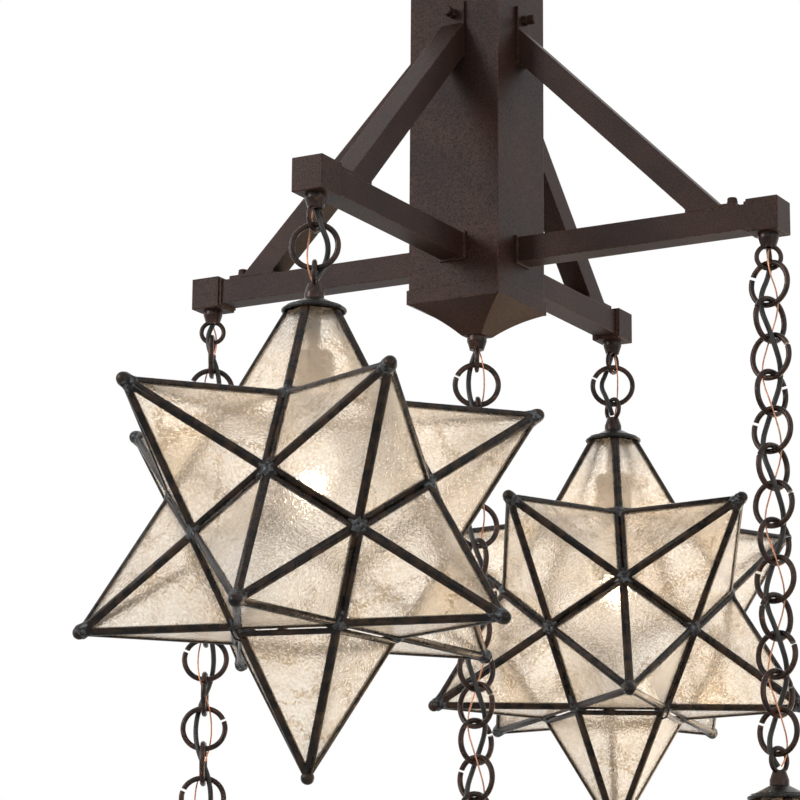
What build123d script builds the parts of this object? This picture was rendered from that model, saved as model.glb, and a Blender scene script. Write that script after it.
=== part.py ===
from build123d import *
import math
import os

os.makedirs("parts", exist_ok=True)

# Five star pendants hang on ring chains from a square column with four braced arms.
# Millimetres, +Z up. The origin is on the ceiling, midway between the two bolt holes of the mounting bar.
# A pendant is named after the place of its arm: front is -Y, back is +Y, right is +X, left is -X.
INCH = 25.4

# Column, arms and end blocks
COLUMN = 4 * INCH
COLUMN_WALL = 3.2
TUBE = 1 * INCH
TUBE_WALL = 2.0
ARM_DROP = 430.0
ARM_REACH = 319.0
ARM_TENON = 8.0
BLOCK = 33.2
BLOCK_SOCKET = 4.0
BLOCK_BORE_R = 7.0
ARM_COLLAR = 29.4
ARM_COLLAR_T = 2.6
COLUMN_BELOW_ARM = 51.8
FIT = 0.1

# Braces: a mitred tube at 45 degrees with a flat plate at each end
BRACE_SUM = 271.0
BRACE_PLATE_T = 3.2
BRACE_PLATE_TOP = 259.0
BRACE_PLATE_OUT = 291.0
BRACE_SCREW_Z = 246.5
BRACE_SCREW_X = 282.0

# Screws with a hexagon and a round end, long on the column and short elsewhere, and the finial's grub screws
HEX = 10.0
HEX_H = 5.0
SCREW_END_R = 4.9
SCREW_END_CHAMFER = 0.8
LONG_HEAD = 13.5
SHORT_HEAD = 8.6
SHANK_R = 3.0
CLEAR_R = 3.3
TAP_R = 3.05
BRACE_SHANK = 10.5
GRUB_R = 2.0
GRUB_LONG = 7.0

# Ceiling pan and the bar inside it
CANOPY = 6 * INCH
CANOPY_H = 30.0
CANOPY_T = 2.0
CANOPY_WIRE_R = 30.0
BAR_LONG = 144.0
BAR_WIDE = 28.0
BAR_T = 4.0
BAR_BOLT_SPACING = 3.5 * INCH
BAR_BOLT_R = 2.4
CANOPY_SCREW_X = 63.5
CANOPY_SHANK = 29.5
GROUND_SCREW_X = 25.0
GROUND_HEAD_R = 4.0
GROUND_HEAD_H = 2.4

# Finial that closes the foot of the column
FINIAL = 105.0
FINIAL_TOP = 39.8
FINIAL_BAND = 14.5
FINIAL_TAPER = 27.7
FINIAL_SHOULDER = 103.0
FINIAL_FLAT = 23.0
FINIAL_MIDDLE = (28.0, 13.6)
FINIAL_WIRE_R = 14.0

# Screw collar with its wire loop: one under each arm and one on each star
COLLAR_H = 14.0
COLLAR_BAND = 5.0
HANG_COLLAR = (10.1, 7.2)
CAP_COLLAR = (9.2, 6.1)
WIREWAY_R = 3.6
NIPPLE_R = 5.1
NIPPLE_H = 8.0
NIPPLE_HOLE_R = 5.2
LOOP_WIRE_R = 2.35
LOOP_R = 11.15
LOOP_DROP = 23.6
LOOP_STRAIGHT = 1.2

# Ring chain
RING_WIRE_R = 2.75
RING_R = 20.8
RING_STRAIGHT = 2.0
RING_TOUCH = 0.1
HANG_GAP = 0.3
CONTACT_DROP = LOOP_DROP + LOOP_R
RING_PITCH = 2 * RING_R - 2 * RING_WIRE_R - RING_TOUCH
WIRES_APART = LOOP_WIRE_R + RING_WIRE_R + HANG_GAP

# Star shade: twelve five-sided points on a dodecahedron, every panel a framed sheet of glass
STAR_R = 235.0
TOP_TIP_R = 245.7
CAP_TO_CENTRE = 210.0
CAME_T = 4.4
CAME_FACE = 5.2
CAME_LIP = 1.6
GLASS_T = 3.0
GLASS_SETBACK = 0.7
SEAM = 0.06
TIP_CUT = 9.0
TIP_BALL_R = 6.2
TIP_BALL_BACK = 4.5
CAP_R = 30.3
CAP_SHOULDER = 10.0
CAP_RIM = 13.3
CAP_SEAT = 8.2
CAP_SEAT_R = 26.8
CAP_LIP_R = 28.4
COUPLING_R = 8.0
COUPLING_CLEAR = 0.2
CAP_WEB = 4.0

# Stem, lampholder and bulb
STEM_R = 5.8
COUPLING_H = 9.0
HOLDER_TOP = 51.8
HOLDER_R = 19.0
HOLDER_H = 54.0
SOCKET_R = 13.6
SOCKET_DEEP = 29.0
BULB_R = 30.0
BULB_LONG = 108.0
BULB_BASE_R = 13.0
BULB_NECK = 34.0
BULB_WAIST = (20.5, 54.0)

# Relamping door: the bottom point of the star, hinged on one side and latched at the far corner
DOOR_GAP = 1.5
DOOR_CAME_FACE = 7.2
HINGE_OFFSET = 3.0
BARREL_R = 2.3
PIN_R = 1.0
PIN_CLEAR = 0.08
LEAF_T = 1.2
LEAF_LONG = 6.0
LEAF_GAP = 0.02
DOOR_KNUCKLE = 22.0
FIXED_KNUCKLE = 11.0
KNUCKLE_GAP = 0.4
LATCH_WIRE_R = 0.9
LATCH_LONG = 14.0
LATCH_ABOVE = 3.0
LATCH_WIDE = 7.0
LATCH_OFF = 3.4
LATCH_BEND = 2.5

# Lamp cord and bare ground wire, woven down the chain a quarter turn to each ring. Each leaves its wireway off
# the middle, and beside a single ring the lamp cord bellies out a little.
CORD_R = 2.6
CORD_EXIT_R = 0.9
CORD_WEAVE_R = 12.0
CORD_BELLY_R = 13.8
GROUND_R = 0.8
GROUND_EXIT_R = 2.6
GROUND_WEAVE_R = 11.0
CORD_TOP_GAP = 1.8
CORD_FOOT_GAP = 3.5
ARC_SHARE = 0.45

# Hidden leads in the arms and the column, and the twist-on connectors in the pan
LEAD_R = 2.6
LEAD_BEND = 9.0
LEAD_RISE_AT = 30.0
LEAD_CENTRE_AT = 8.0
LEAD_TOP = 22.0
CONNECTOR_R = (4.0, 6.5)
CONNECTOR_H = 15.0
CONNECTOR_X = (-18.0, 0.0, 18.0)
CONNECTOR_Y = 24.0
CONNECTOR_TOP = 8.5
HOUSE_WIRE_R = 1.6

# Every pendant: arm direction, number of rings, plane of the fixed loop and of the first ring, the extra
# turn of each of the next rings, the turn from the last ring to the star's loop, the latch's direction, the
# side that the cord takes at every crossing, beside a single ring the direction of its belly, and where the
# rings' ends meet: the height angle and the width of the slit left there.
PENDANTS = {
    "front": dict(
        arm=270, rings=1, loop=90, ring=200, twist=0, last=99,
        latch=247.6, side=180, belly=20, slit=(145, 0.6),
    ),
    "back": dict(
        arm=90, rings=1, loop=90, ring=205, twist=0, last=125,
        latch=335.5, side=0, belly=205, slit=(23, 2.6),
    ),
    "right": dict(
        arm=0, rings=13, loop=29.5, ring=164.5, twist=0, last=90,
        latch=200.0, side=0, belly=None, slit=(23, 2.6),
    ),
    "left": dict(
        arm=180, rings=25, loop=29.5, ring=119.5, twist=0, last=90,
        latch=60.0, side=180, belly=None, slit=(23, 2.6),
    ),
    "centre": dict(
        arm=None, rings=35, loop=119.5, ring=209.5, twist=5, last=90,
        latch=130.0, side=0, belly=None, slit=(23, 2.6),
    ),
}
TWIST_RINGS = 9

# The star's figures all follow from its radius.
GOLDEN = (1 + math.sqrt(5)) / 2
EDGE = STAR_R / math.sin(math.radians(72)) / GOLDEN**2
BASE_Z = STAR_R / math.sqrt(5)
BASE_R = EDGE / (2 * math.sin(math.radians(36)))
BASE_IN = BASE_R * math.cos(math.radians(36))
POINT_H = STAR_R - BASE_Z


def polar(radius, degrees, z=0.0):
    a = math.radians(degrees)
    return Vector(radius * math.cos(a), radius * math.sin(a), z)


def turned(points):
    """A solid of revolution about Z from (radius, height) corners."""
    return revolve(make_face(Polyline(*[(r, 0, z) for r, z in points], close=True)), Axis.Z)


def bar(x0, x1, y0, y1, z0, z1):
    return Pos((x0 + x1) / 2, (y0 + y1) / 2, (z0 + z1) / 2) * Box(x1 - x0, y1 - y0, z1 - z0)


def rod(radius, z0, z1, x=0.0, y=0.0):
    return Pos(x, y, (z0 + z1) / 2) * Cylinder(radius, z1 - z0)


def hang_point(pendant):
    """Where a pendant's collar meets the face above it."""
    if pendant["arm"] is None:
        return Vector(0, 0, -ARM_DROP - FINIAL_TOP - FINIAL_BAND - FINIAL_TAPER)
    return polar(ARM_REACH, pendant["arm"], -ARM_DROP - BLOCK / 2)


def first_ring_z():
    """The middle of the first ring, below the face that its pendant hangs from."""
    return -CONTACT_DROP + WIRES_APART - RING_R


def last_ring_foot(pendant):
    """The centre of the last ring's bottom wire, below the same face."""
    return first_ring_z() - RING_PITCH * (pendant["rings"] - 1) - RING_R


def cap_top(pendant):
    """The top face of the star's cap, below the same face."""
    return last_ring_foot(pendant) + WIRES_APART - CONTACT_DROP


def link_angles(pendant):
    """The plane of every link, from the fixed loop through the rings to the star's loop."""
    angles = [pendant["loop"], pendant["ring"]]
    for i in range(1, pendant["rings"]):
        angles.append(angles[-1] + 90 + (pendant["twist"] if i <= TWIST_RINGS else 0))
    angles.append(angles[-1] + pendant["last"])
    return angles


def star_place(pendant):
    """The star's centre, turned so that its latch faces the right way."""
    p = hang_point(pendant)
    return Pos(p.X, p.Y, p.Z + cap_top(pendant) - CAP_TO_CENTRE) * Rot(0, 0, pendant["latch"])


def square_tube(x0, x1):
    """The arm and brace tube along X."""
    half, inner = TUBE / 2, TUBE / 2 - TUBE_WALL
    return bar(x0, x1, -half, half, -half, half) - bar(x0 - 1, x1 + 1, -inner, inner, -inner, inner)


def round_ended_screw(shank, head):
    """A hexagon with a round flat end that stands up from z = 0, with its shank below."""
    hexagon = extrude(RegularPolygon(HEX / 2, 6, major_radius=False), HEX_H)
    end = rod(SCREW_END_R, HEX_H - 1, head)
    end = chamfer(end.edges().group_by(Axis.Z)[-1], SCREW_END_CHAMFER)
    return hexagon + end + rod(SHANK_R, -shank, 1)


def wire_ring(radius, wire_r, straight):
    """A wire ring in the XZ plane about the origin, with a short straight run at top and bottom."""
    half = straight / 2
    path = Wire([
        ThreePointArc((half, 0, -radius), (half + radius, 0, 0), (half, 0, radius)),
        Line((half, 0, radius), (-half, 0, radius)),
        ThreePointArc((-half, 0, radius), (-half - radius, 0, 0), (-half, 0, -radius)),
        Line((-half, 0, -radius), (half, 0, -radius)),
    ])
    section = Plane(origin=(half, 0, -radius), x_dir=(0, 1, 0), z_dir=(1, 0, 0)) * Circle(wire_r)
    return sweep(section, path=path)


def screw_loop(collar_radii):
    """Nipple, collar and wire loop in one casting. The collar meets a face at z = 0 and the loop hangs."""
    wide, narrow = collar_radii
    collar = turned([
        (0, NIPPLE_H), (NIPPLE_R, NIPPLE_H), (NIPPLE_R, 0), (wide, 0),
        (wide, -COLLAR_BAND), (narrow, -COLLAR_H), (0, -COLLAR_H),
    ])
    loop = Pos(0, 0, -LOOP_DROP) * wire_ring(LOOP_R, LOOP_WIRE_R, LOOP_STRAIGHT)
    return collar + loop - rod(WIREWAY_R, -COLLAR_H - 4, NIPPLE_H + 1)


def chain_ring(slit_angle, slit_width):
    """One ring, with the fine slit where its ends were closed."""
    ring = wire_ring(RING_R, RING_WIRE_R, RING_STRAIGHT)
    slit = Pos(RING_R + RING_STRAIGHT / 2, 0, 0) * Box(4 * RING_WIRE_R, 4 * RING_WIRE_R, slit_width)
    return ring - Rot(0, -slit_angle, 0) * slit


def mounting_bar():
    """The bar against the ceiling box, tapped for the pan's two screws, with its ground screw."""
    strip = bar(-BAR_LONG / 2, BAR_LONG / 2, -BAR_WIDE / 2, BAR_WIDE / 2, -BAR_T, 0)
    for side in (-1, 1):
        strip -= rod(BAR_BOLT_R, -BAR_T - 1, 1, side * BAR_BOLT_SPACING / 2)
        strip -= rod(TAP_R, -BAR_T - 1, 1, side * CANOPY_SCREW_X)
    strip -= rod(GRUB_R + FIT / 2, -BAR_T - 1, 1, GROUND_SCREW_X)
    head = rod(GROUND_HEAD_R, -BAR_T - GROUND_HEAD_H, -BAR_T - LEAF_GAP, GROUND_SCREW_X)
    ground = head + rod(GRUB_R, -BAR_T - 1, -0.5, GROUND_SCREW_X)
    return [strip, ground]


def canopy():
    """The square ceiling pan, open above, with its wire hole and two screw holes."""
    half, inner = CANOPY / 2, CANOPY / 2 - CANOPY_T
    outer = bar(-half, half, -half, half, -CANOPY_H, 0)
    outer = fillet(outer.edges().filter_by(Axis.Z), 5.0)
    pan = outer - bar(-inner, inner, -inner, inner, -CANOPY_H + CANOPY_T, 1)
    pan -= rod(CANOPY_WIRE_R, -CANOPY_H - 1, -CANOPY_H + CANOPY_T + 1)
    for side in (-1, 1):
        pan -= rod(CLEAR_R, -CANOPY_H - 1, -CANOPY_H + CANOPY_T + 1, side * CANOPY_SCREW_X)
    return [pan]


def column():
    """The hollow square column, slotted for the four arms and tapped for the braces and the finial."""
    half, inner = COLUMN / 2, COLUMN / 2 - COLUMN_WALL
    top, foot = -CANOPY_H, -ARM_DROP - COLUMN_BELOW_ARM
    post = bar(-half, half, -half, half, foot, top) - bar(-inner, inner, -inner, inner, foot - 1, top + 1)
    slot = Pos(half, 0, -ARM_DROP) * Box(4 * COLUMN_WALL, TUBE + FIT, TUBE + FIT)
    screw = Pos(half, 0, BRACE_SCREW_Z - ARM_DROP) * Rot(0, 90, 0) * Cylinder(TAP_R, 4 * COLUMN_WALL)
    for turn in range(4):
        post -= Rot(0, 0, 90 * turn) * slot
        post -= Rot(0, 0, 90 * turn) * screw
    for turn in (90, 180):
        post -= Rot(0, 0, turn) * grub_screw_space(GRUB_R + FIT / 2)
    return [post]


def grub_screw_space(radius):
    """A short rod along X through the finial's band and the column's wall."""
    z = -ARM_DROP - FINIAL_TOP - FINIAL_BAND / 2
    return Pos(FINIAL / 2 - GRUB_LONG / 2 - 0.2, 0, z) * Rot(0, 90, 0) * Cylinder(radius, GRUB_LONG)


def finial():
    """The square cover with hollow-curved sides, bored for the wires and for the centre loop."""
    top = -ARM_DROP - FINIAL_TOP
    shoulder = top - FINIAL_BAND
    foot = shoulder - FINIAL_TAPER
    mid_half, mid_drop = FINIAL_MIDDLE
    right = ThreePointArc(
        (FINIAL_SHOULDER / 2, 0, shoulder), (mid_half, 0, shoulder - mid_drop), (FINIAL_FLAT / 2, 0, foot)
    )
    left = ThreePointArc(
        (-FINIAL_FLAT / 2, 0, foot), (-mid_half, 0, shoulder - mid_drop), (-FINIAL_SHOULDER / 2, 0, shoulder)
    )
    base = Line((FINIAL_FLAT / 2, 0, foot), (-FINIAL_FLAT / 2, 0, foot))
    back = Line((-FINIAL_SHOULDER / 2, 0, shoulder), (FINIAL_SHOULDER / 2, 0, shoulder))
    profile = make_face(Wire([right, base, left, back]))
    one_way = extrude(profile, FINIAL, both=True)
    taper = one_way & Rot(0, 0, 90) * one_way
    band_half = FINIAL / 2
    cover = bar(-band_half, band_half, -band_half, band_half, shoulder, top) + taper
    pocket = COLUMN / 2 + FIT
    seat = -ARM_DROP - COLUMN_BELOW_ARM
    cover -= bar(-pocket, pocket, -pocket, pocket, seat, top + 1)
    cover -= rod(FINIAL_WIRE_R, foot + NIPPLE_H + 1, top)
    cover -= rod(NIPPLE_HOLE_R, foot - 1, top)
    for turn in (90, 180):
        cover -= Rot(0, 0, turn) * grub_screw_space(GRUB_R + FIT / 2)
    return [cover]


def arm():
    """The right-hand arm: tube, its collar at the column, the collar at the block and the end block."""
    half, edge = COLUMN / 2, ARM_REACH - BLOCK / 2
    tube = square_tube(half - ARM_TENON, edge + BLOCK_SOCKET - FIT)
    tube -= rod(TAP_R, 0, TUBE, BRACE_SCREW_X)
    plate = bar(0, ARM_COLLAR_T, -ARM_COLLAR / 2, ARM_COLLAR / 2, -ARM_COLLAR / 2, ARM_COLLAR / 2)
    opening = Box(4 * ARM_COLLAR_T, TUBE + FIT, TUBE + FIT)
    collar = plate - opening
    block = Pos(ARM_REACH, 0, 0) * Box(BLOCK, BLOCK, BLOCK)
    block = chamfer(block.edges(), 0.6)
    block -= Pos(edge, 0, 0) * Box(2 * BLOCK_SOCKET, TUBE + FIT, TUBE + FIT)
    block -= Pos(edge + BLOCK / 4, 0, 0) * Rot(0, 90, 0) * Cylinder(BLOCK_BORE_R, BLOCK / 2)
    block -= rod(NIPPLE_HOLE_R, -BLOCK, 0, ARM_REACH)
    pieces = [tube, Pos(half + FIT / 2, 0, 0) * collar, Pos(edge - ARM_COLLAR_T, 0, 0) * collar, block]
    return [Pos(0, 0, -ARM_DROP) * piece for piece in pieces]


def brace():
    """The right-hand brace: a tube at 45 degrees, mitred against a plate on the column and one on the arm."""
    half = COLUMN / 2
    plate_face = half + BRACE_PLATE_T
    arm_top = TUBE / 2 + BRACE_PLATE_T
    middle = BRACE_SUM / 2
    tube = Pos(middle, 0, middle) * Rot(0, 45, 0) * square_tube(-BRACE_SUM, BRACE_SUM)
    tube &= bar(plate_face, BRACE_SUM * 2, -TUBE, TUBE, arm_top, BRACE_SUM * 2)
    reach = TUBE / math.sqrt(2)
    low_end = BRACE_SUM - plate_face - reach
    in_end = BRACE_SUM - arm_top - reach
    upper = bar(half, plate_face, -TUBE / 2, TUBE / 2, low_end, BRACE_PLATE_TOP)
    upper -= Pos(half, 0, BRACE_SCREW_Z) * Rot(0, 90, 0) * Cylinder(CLEAR_R, 4 * BRACE_PLATE_T)
    lower = bar(in_end, BRACE_PLATE_OUT, -TUBE / 2, TUBE / 2, TUBE / 2, arm_top)
    lower -= rod(CLEAR_R, 0, TUBE, BRACE_SCREW_X)
    return [Pos(0, 0, -ARM_DROP) * piece for piece in (tube, upper, lower)]


def screws():
    """Eight screws on the braces, two under the ceiling pan and two grub screws in the finial."""
    pieces = []
    at_column = Pos(COLUMN / 2 + BRACE_PLATE_T, 0, BRACE_SCREW_Z - ARM_DROP) * Rot(0, 90, 0)
    at_arm = Pos(BRACE_SCREW_X, 0, TUBE / 2 + BRACE_PLATE_T - ARM_DROP)
    for turn in range(4):
        for place, head in ((at_column, LONG_HEAD), (at_arm, SHORT_HEAD)):
            pieces.append(Rot(0, 0, 90 * turn) * place * round_ended_screw(BRACE_SHANK, head))
    for side in (-1, 1):
        place = Pos(side * CANOPY_SCREW_X, 0, -CANOPY_H) * Rot(180, 0, 0)
        pieces.append(place * round_ended_screw(CANOPY_SHANK, SHORT_HEAD))
    for turn in (90, 180):
        pieces.append(Rot(0, 0, turn) * grub_screw_space(GRUB_R))
    return pieces


def smooth_path(points):
    """Straight runs joined by arcs, each as large as its two runs allow. Returns the path and the radii."""
    radii = []
    for before, here, after in zip(points, points[1:], points[2:]):
        into, out = here - before, after - here
        turn = math.radians(into.get_angle(out))
        radii.append(ARC_SHARE * min(into.length, out.length) / math.tan(turn / 2))
    return FilletPolyline(*points, radius=radii), radii


def tube_along(points, radius, label):
    path, radii = smooth_path(points)
    start = Plane(origin=points[0], z_dir=points[1] - points[0])
    tube = sweep(start * Circle(radius), path=path)
    expected = math.pi * radius**2 * path.length
    print(
        f"{label}: length {path.length:.0f}, radii {min(radii):.1f} to {max(radii):.1f},"
        f" volume {tube.volume / expected:.4f} of section times length"
    )
    return tube


def inner_leads():
    """One twin lead from each wireway through its arm and up the column into the ceiling pan."""
    pieces = []
    for name, pendant in PENDANTS.items():
        if pendant["arm"] is None:
            foot = -ARM_DROP - COLUMN_BELOW_ARM
            points = [
                hang_point(pendant) + Vector(0, 0, NIPPLE_H / 2),
                Vector(0, 0, foot - LEAD_BEND),
                Vector(LEAD_CENTRE_AT, 0, foot + 2 * LEAD_BEND),
                Vector(LEAD_CENTRE_AT, 0, -LEAD_TOP),
            ]
        else:
            turn = pendant["arm"]
            points = [
                polar(ARM_REACH, turn, -ARM_DROP - BLOCK / 2 + NIPPLE_H / 2),
                polar(ARM_REACH, turn, -ARM_DROP),
                polar(LEAD_RISE_AT, turn, -ARM_DROP),
                polar(LEAD_RISE_AT - LEAD_CENTRE_AT, turn, -LEAD_TOP),
            ]
        pieces.append(lead(points))
    return pieces


def lead(points):
    path = FilletPolyline(*points, radius=LEAD_BEND)
    return sweep(Plane(origin=points[0], z_dir=points[1] - points[0]) * Circle(LEAD_R), path=path)


def connectors():
    """Twist-on connectors on the house wires that come down beside the bar."""
    small, wide = CONNECTOR_R
    pieces = []
    for x in CONNECTOR_X:
        shell = turned([(0, 0), (small, 0), (wide, -CONNECTOR_H), (0, -CONNECTOR_H)])
        wire = rod(HOUSE_WIRE_R, LEAF_GAP, CONNECTOR_TOP - FIT)
        pieces.append(Pos(x, CONNECTOR_Y, -CONNECTOR_TOP) * shell)
        pieces.append(Pos(x, CONNECTOR_Y, -CONNECTOR_TOP) * wire)
    return pieces


def chain(pendant):
    p = hang_point(pendant)
    ring = chain_ring(*pendant["slit"])
    pieces = []
    for i, angle in enumerate(link_angles(pendant)[1:-1]):
        pieces.append(Pos(p.X, p.Y, p.Z + first_ring_z() - i * RING_PITCH) * Rot(0, 0, angle) * ring)
    return pieces


def square_to(plane, towards):
    """The direction square to a link's plane that is nearer to another direction."""
    return plane + 90 if math.cos(math.radians(plane + 90 - towards)) > 0 else plane - 90


def weave(pendant, radius, side, exit_r, belly_r=None):
    """The points of a wire that leaves one wireway, passes every crossing of two links in the next quarter
    and goes into the star's wireway. With a belly it also passes the side of the single ring."""
    p = hang_point(pendant)
    angles = link_angles(pendant)
    seats = [-CONTACT_DROP + LOOP_WIRE_R]
    seats += [last_ring_foot(pendant) + RING_WIRE_R + RING_PITCH * i for i in reversed(range(pendant["rings"]))]
    start = -COLLAR_H - CORD_TOP_GAP
    end = cap_top(pendant) + COLLAR_H + CORD_FOOT_GAP
    points = []
    for i, z in enumerate(seats):
        points.append(polar(radius, (angles[i] + angles[i + 1]) / 2 + side, z))
    if belly_r is not None:
        points.insert(1, polar(belly_r, pendant["belly"], first_ring_z()))
    out = square_to(angles[0], (angles[0] + angles[1]) / 2 + side)
    back = square_to(angles[-1], (angles[-2] + angles[-1]) / 2 + side)
    points = [polar(exit_r, out, start), *points, polar(exit_r, back, end)]
    return [point + p for point in points]


def cord(name, pendant):
    belly_r = None if pendant["belly"] is None else CORD_BELLY_R
    side = pendant["side"]
    black = weave(pendant, CORD_WEAVE_R, side, CORD_EXIT_R, belly_r)
    bare = weave(pendant, GROUND_WEAVE_R, side + 180, GROUND_EXIT_R)
    return [tube_along(black, CORD_R, name + " cord"), tube_along(bare, GROUND_R, name + " ground wire")]


def cap(pendant):
    """The star's cap with its own collar and loop."""
    p = hang_point(pendant)
    collar_r = CAP_COLLAR[0]
    bore = COUPLING_R + COUPLING_CLEAR
    outline = [
        Line((NIPPLE_HOLE_R, 0, 0), (collar_r, 0, 0)),
        Line((collar_r, 0, 0), (CAP_LIP_R, 0, -CAP_SHOULDER)),
        ThreePointArc(
            (CAP_LIP_R, 0, -CAP_SHOULDER), (CAP_R, 0, -(CAP_SHOULDER + CAP_RIM) / 2), (CAP_LIP_R, 0, -CAP_RIM)
        ),
        Line((CAP_LIP_R, 0, -CAP_RIM), (CAP_SEAT_R, 0, -CAP_SEAT)),
        Line((CAP_SEAT_R, 0, -CAP_SEAT), (bore, 0, -CAP_SEAT)),
        Line((bore, 0, -CAP_SEAT), (bore, 0, -CAP_WEB)),
        Line((bore, 0, -CAP_WEB), (NIPPLE_HOLE_R, 0, -CAP_WEB)),
        Line((NIPPLE_HOLE_R, 0, -CAP_WEB), (NIPPLE_HOLE_R, 0, 0)),
    ]
    lid = revolve(make_face(Wire(outline)), Axis.Z)
    place = Pos(p.X, p.Y, p.Z + cap_top(pendant))
    loop = Rot(0, 0, link_angles(pendant)[-1]) * Rot(180, 0, 0) * screw_loop(CAP_COLLAR)
    return [place * lid, place * loop]


def lampholder(pendant):
    """Coupling on the nipple, stem and socket."""
    p = hang_point(pendant)
    foot = -HOLDER_TOP - HOLDER_H
    body = turned([
        (NIPPLE_HOLE_R, -CAP_WEB - FIT), (COUPLING_R, -CAP_WEB - FIT), (COUPLING_R, -CAP_WEB - COUPLING_H),
        (STEM_R, -CAP_WEB - COUPLING_H - 1), (STEM_R, -HOLDER_TOP), (HOLDER_R - 2, -HOLDER_TOP),
        (HOLDER_R, -HOLDER_TOP - 2), (HOLDER_R, foot), (SOCKET_R, foot), (SOCKET_R, foot + SOCKET_DEEP),
        (WIREWAY_R, foot + SOCKET_DEEP), (WIREWAY_R, -NIPPLE_H - 0.5), (NIPPLE_HOLE_R, -NIPPLE_H - 0.5),
    ])
    return [Pos(p.X, p.Y, p.Z + cap_top(pendant)) * body]


def bulb(pendant):
    """A pear-shaped bulb with its screw base up in the socket."""
    p = hang_point(pendant)
    top = -HOLDER_TOP - HOLDER_H + SOCKET_DEEP - FIT
    centre = BULB_LONG - BULB_R
    shoulder = (BULB_R * math.cos(math.radians(15)), centre - BULB_R * math.sin(math.radians(15)))
    waist_r, waist_z = BULB_WAIST
    outline = [
        Line((0, 0, 0), (BULB_BASE_R, 0, 0)),
        Line((BULB_BASE_R, 0, 0), (BULB_BASE_R, 0, -BULB_NECK)),
        ThreePointArc((BULB_BASE_R, 0, -BULB_NECK), (waist_r, 0, -waist_z), (shoulder[0], 0, -shoulder[1])),
        ThreePointArc(
            (shoulder[0], 0, -shoulder[1]),
            (BULB_R * math.cos(math.radians(45)), 0, -centre - BULB_R * math.sin(math.radians(45))),
            (0, 0, -BULB_LONG),
        ),
        Line((0, 0, -BULB_LONG), (0, 0, 0)),
    ]
    return [Pos(p.X, p.Y, p.Z + cap_top(pendant) + top) * revolve(make_face(Wire(outline)), Axis.Z)]


def star_corners():
    """The twelve tips and the twenty corners of the core. The top point is the tall one that the cap closes."""
    tips = [Vector(0, 0, TOP_TIP_R), Vector(0, 0, -STAR_R)]
    core = []
    for k in range(5):
        tips.append(polar(2 * BASE_Z, 72 * k, BASE_Z))
        tips.append(polar(2 * BASE_Z, 72 * k + 36, -BASE_Z))
        core.append(polar(BASE_R, 72 * k + 36, BASE_Z))
        core.append(polar(BASE_R, 72 * k, -BASE_Z))
        core.append(polar(BASE_R * GOLDEN, 72 * k + 36, BASE_Z * (GOLDEN - 1) ** 3))
        core.append(polar(BASE_R * GOLDEN, 72 * k, -BASE_Z * (GOLDEN - 1) ** 3))
    return tips, core


def panel_planes(tip, core):
    """The five planes of a point: base edge along x, tip along y, outward normal z."""
    near = sorted(core, key=lambda corner: (corner - tip).length)[:5]
    planes = []
    for i, a in enumerate(near):
        for b in near[i + 1:]:
            if (a - b).length < EDGE * 1.1:
                middle = (a + b) * 0.5
                up = tip - middle
                normal = (b - a).cross(up)
                side = b - a
                if normal.dot(middle) < 0:
                    normal, side = -normal, a - b
                planes.append(Plane(origin=middle, x_dir=side, z_dir=normal))
    return planes


def point_shape(tip_r):
    """A point's figures in the frame of one of its panels: slant height, half the tip's angle, and the star's
    centre and the point's axis as the panel sees them."""
    rise = tip_r - BASE_Z
    slant = math.hypot(BASE_IN, rise)
    centre = Vector(0, (BASE_IN**2 - BASE_Z * rise) / slant, -tip_r * BASE_IN / slant)
    axis = (Vector(0, slant, 0) - centre) / tip_r
    return dict(slant=slant, half_tip=math.atan(EDGE / 2 / slant), centre=centre, axis=axis)


def inset_triangle(shape, side, base):
    """The panel's outline, drawn in by one width along the ridges and another along the base."""
    tip_y = shape["slant"] - side / math.sin(shape["half_tip"])
    half = (tip_y - base) * math.tan(shape["half_tip"])
    return [Vector(-half, base, 0), Vector(half, base, 0), Vector(0, tip_y, 0)]


def slab(corners, depth, thick):
    """A flat plate of the outline, from a depth under the panel's outer face."""
    face = make_face(Polyline(*corners, close=True))
    return Pos(0, 0, -depth - thick) * extrude(face, thick, dir=(0, 0, 1))


def wedge(shape):
    """The full panel: its four sides slope to the star's centre, so neighbours meet face to face."""
    outer = inset_triangle(shape, SEAM / 2, SEAM / 2)
    centre = shape["centre"]
    scale = 1 + CAME_T / centre.Z
    inner = [centre + (corner - centre) * scale for corner in outer]
    faces = [Face(Wire.make_polygon(outer)), Face(Wire.make_polygon(inner))]
    for i in range(3):
        j = (i + 1) % 3
        faces.append(Face(Wire.make_polygon([outer[i], outer[j], inner[j], inner[i]])))
    return Solid(Shell(faces))


def beyond(shape, solid, height, keep):
    """The part of a solid on one side of a plane square to the point's axis."""
    plane = Plane(origin=shape["centre"] + shape["axis"] * height, z_dir=shape["axis"])
    return split(solid, bisect_by=plane, keep=keep)


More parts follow.
